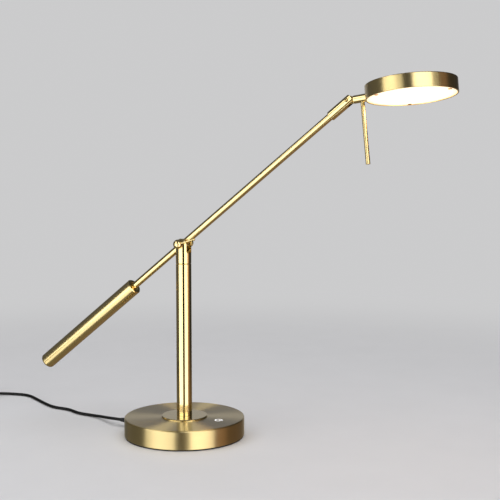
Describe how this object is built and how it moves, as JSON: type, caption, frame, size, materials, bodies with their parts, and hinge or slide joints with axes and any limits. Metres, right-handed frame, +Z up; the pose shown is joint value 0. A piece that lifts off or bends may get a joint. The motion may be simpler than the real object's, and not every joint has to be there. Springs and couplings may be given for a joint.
{
  "type": "counterweight balance desk lamp",
  "caption": "Desk lamp with a round weighted foot and column, a long balanced arm that tilts in a clamped fork, and a flat disc LED head on a swivelling, tilting knuckle.",
  "frame": {"origin": "middle of the round foot's underside, on the table", "axes": "+Z up, +X the way the arm and the lamp head point as it stands, -Y the side of the clamp lever"},
  "size_m": [0.6967, 0.1656, 0.4077],
  "materials": {
    "satin_brass": "satin, brushed",
    "polished_brass": "polished",
    "base_brass": "satin, spun-brushed",
    "steel": "plain zinc-plated",
    "iron": "rough cast",
    "pad": "matte",
    "black_rubber": "matte",
    "board": "circuit board lacquer",
    "white_board": "white lacquer",
    "bearing": "self-lubricating polymer",
    "aluminium": "bare",
    "opal": "opal, lit from behind",
    "copper_screw": "reddish brass",
    "plug_black": "fine matte",
    "pin_metal": "nickel-plated"
  },
  "bodies": {
    "base": {"foot_pad": "pad", "bottom_cover": "steel", "cover_screws": "steel", "base_shell": "base_brass", "base_weight": "iron", "dimmer_board": "board", "touch_contact": "steel", "strain_relief": "black_rubber", "mains_inner_lead": "black_rubber", "centre_plate": "polished_brass", "foot_ring": "polished_brass", "column_tube": "polished_brass", "column_foot_plug": "steel", "column_nipple": "steel", "nipple_washer": "steel", "nipple_nut": "steel", "swivel_bush": "bearing", "column_lead": "black_rubber", "power_cord": "black_rubber", "cord_coil": "black_rubber", "cord_tie": "plug_black", "plug_lead": "black_rubber", "power_plug": "plug_black", "plug_pins": "pin_metal"},
    "fork": {"fork_head": "polished_brass", "swivel_clip": "steel", "pivot_bolt": "polished_brass"},
    "clamp": {"clamp_knob": "polished_brass", "clamp_lever": "polished_brass"},
    "arm": {"arm_hub": "polished_brass", "friction_washers": "bearing", "arm_tube": "polished_brass", "arm_lead": "black_rubber", "rear_rod": "polished_brass", "counterweight": "polished_brass"},
    "knuckle": {"knuckle_sleeve": "polished_brass", "hinge_screw": "polished_brass", "swivel_grub_screw": "steel"},
    "head": {"stem": "polished_brass", "handle_rod": "polished_brass", "head_shell": "satin_brass", "stem_nut": "steel", "heat_spreader": "aluminium", "led_board": "white_board", "diffuser": "opal", "diffuser_screws": "copper_screw"}
  },
  "joints": [
    {"name": "column_swivel", "type": "hinge", "parent": "base", "child": "fork", "pos_m": [0, 0, 0.2025], "axis": [0, 0, 1], "range_deg": [-170, 170]},
    {"name": "arm_tilt", "type": "hinge", "parent": "fork", "child": "arm", "pos_m": [0, 0, 0.2252], "axis": [0, -1, 0], "range_deg": [-62.8, 7.2]},
    {"name": "clamp_turn", "type": "hinge", "parent": "fork", "child": "clamp", "pos_m": [0, -0.0125, 0.2252], "axis": [0, -1, 0], "range_deg": [0, 90]},
    {"name": "head_swivel", "type": "hinge", "parent": "arm", "child": "knuckle", "pos_m": [0.20402, 0, 0.38345], "axis": [0.7902, 0, 0.6129], "range_deg": [-158.2, 171.8]},
    {"name": "head_tilt", "type": "hinge", "parent": "knuckle", "child": "head", "pos_m": [0.20402, 0, 0.38345], "axis": [0.0726, 0.993, -0.0936], "range_deg": [-120.3, 59.7]}
  ]
}
